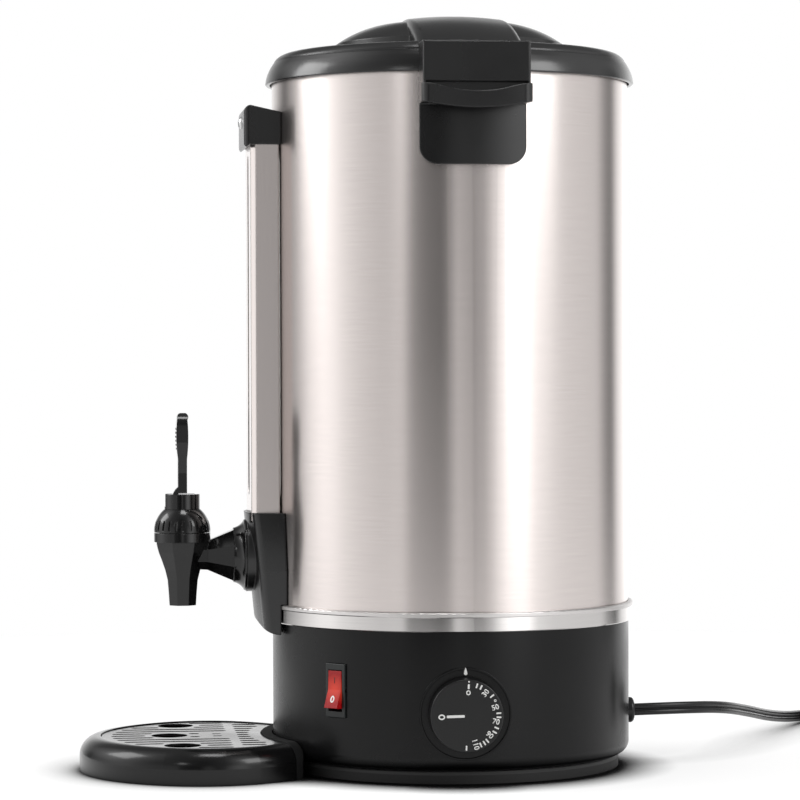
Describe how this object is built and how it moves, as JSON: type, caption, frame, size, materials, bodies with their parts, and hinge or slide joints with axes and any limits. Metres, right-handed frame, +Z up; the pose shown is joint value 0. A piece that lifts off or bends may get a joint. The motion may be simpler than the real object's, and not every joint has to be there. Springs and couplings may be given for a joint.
{
  "type": "coffee urn",
  "caption": "Upright electric drinks urn: steel vessel on a black base, lift-off lid, side handles, sight gauge, lever tap, dial, rocker switch, brewing basket and drip tray.",
  "frame": {"origin": "on the table, on the vessel's vertical axis", "axes": "+Z up, -Y towards the tap and drip tray, +X towards the handle above the dial"},
  "size_m": [0.3896, 0.59, 0.4506],
  "materials": {
    "vessel_steel": "satin, brushed round the vessel",
    "band_chrome": "polished",
    "inner_steel": "satin",
    "black_satin": "satin moulded",
    "lid_black": "satin moulded",
    "knob_black": "satin moulded with printed marks",
    "switch_black": "smooth",
    "rocker_red": "translucent, lit from inside",
    "tap_black": "half gloss moulded",
    "tray_black": "half gloss moulded",
    "pan_paint": "satin paint",
    "black_rubber": "matt",
    "plated_steel": "plated",
    "plate_aluminium": "satin",
    "element_steel": "heat stained",
    "bakelite": "moulded",
    "copper_brass": "drawn",
    "gauge_glass": "clear",
    "cord_rubber": "half matt",
    "plug_black": "moulded"
  },
  "bodies": {
    "urn": {"vessel": "vessel_steel", "trim_band": "band_chrome", "base_housing": "black_satin", "base_pan": "pan_paint", "foot_ring": "black_rubber", "base_studs": "plated_steel", "stud_nuts": "plated_steel", "heat_plate": "plate_aluminium", "heating_element": "element_steel", "thermal_cutout": "bakelite", "thermostat": "plated_steel", "thermostat_nut": "plated_steel", "thermostat_bulb": "copper_brass", "switch_case": "switch_black", "terminal_block": "bakelite", "leads": "cord_rubber", "side_handle_right": "black_satin", "side_handle_left": "black_satin", "handle_screws": "plated_steel", "gauge_column": "vessel_steel", "gauge_glass": "gauge_glass", "gauge_seals": "black_rubber", "gauge_bracket": "black_satin", "gauge_screw": "band_chrome", "gauge_nut": "plated_steel", "tap_housing": "black_satin", "gauge_tee": "plated_steel", "tap_gasket": "black_rubber", "tap_washer": "black_rubber", "tap_nut": "plated_steel", "tap_body": "tap_black", "tap_bonnet": "tap_black", "tap_collar": "tap_black", "lever_pin": "plated_steel", "tap_spring": "plated_steel", "cord_grommet": "cord_rubber", "power_cord": "cord_rubber", "cord_coil": "cord_rubber", "cord_tail": "cord_rubber", "plug": "plug_black"},
    "lid_body": {"lid": "lid_black", "lid_liner": "inner_steel", "lid_screws": "plated_steel"},
    "brewing_set": {"pump_tube": "inner_steel", "pump_foot": "inner_steel", "filter_basket": "inner_steel"},
    "basket_lid": {"basket_cover": "inner_steel"},
    "lever": {"tap_lever": "tap_black"},
    "valve": {"tap_stem": "plated_steel", "seat_cup": "black_rubber"},
    "dial": {"thermostat_knob": "knob_black", "knob_shaft": "plated_steel"},
    "switch_rocker": {"rocker": "rocker_red"},
    "tray": {"drip_tray": "tray_black"},
    "grille": {"tray_grille": "tray_black"}
  },
  "joints": [
    {"name": "lid_lift", "type": "slide", "parent": "urn", "child": "lid_body", "axis": [0, 0, 1], "range_m": [0, 0.37]},
    {"name": "brew_lift", "type": "slide", "parent": "urn", "child": "brewing_set", "axis": [0, 0, 1], "range_m": [0, 0.335]},
    {"name": "cover_lift", "type": "slide", "parent": "brewing_set", "child": "basket_lid", "axis": [0, 0, 1], "range_m": [0, 0.03]},
    {"name": "lever_tilt", "type": "hinge", "parent": "urn", "child": "lever", "pos_m": [0, -0.1664, 0.1604], "axis": [1, 0, 0], "range_deg": [0, 30], "stiffness_Nm_per_rad": 0.5, "springref_deg": -17.19},
    {"name": "valve_lift", "type": "slide", "parent": "urn", "child": "valve", "axis": [0, 0, 1], "range_m": [0, 0.0029], "deforming": ["tap_spring"]},
    {"name": "dial_turn", "type": "hinge", "parent": "urn", "child": "dial", "pos_m": [0.10989, -0.00499, 0.042], "axis": [0.999, -0.0454, 0], "range_deg": [0, 175]},
    {"name": "rocker_tilt", "type": "hinge", "parent": "urn", "child": "switch_rocker", "pos_m": [0.07497, -0.0755, 0.0534], "axis": [0.7096, 0.7046, 0], "range_deg": [0, 22]},
    {"name": "tray_pull", "type": "slide", "parent": "urn", "child": "tray", "axis": [0, -1, 0], "range_m": [0, 0.15]},
    {"name": "grille_lift", "type": "slide", "parent": "tray", "child": "grille", "axis": [0, 0, 1], "range_m": [0, 0.06]}
  ],
  "couplings": [
    {"joint": "brew_lift", "follows": "lid_lift", "ratio": 0.9},
    {"joint": "valve_lift", "follows": "lever_tilt", "m_per_rad": 0.0055}
  ]
}
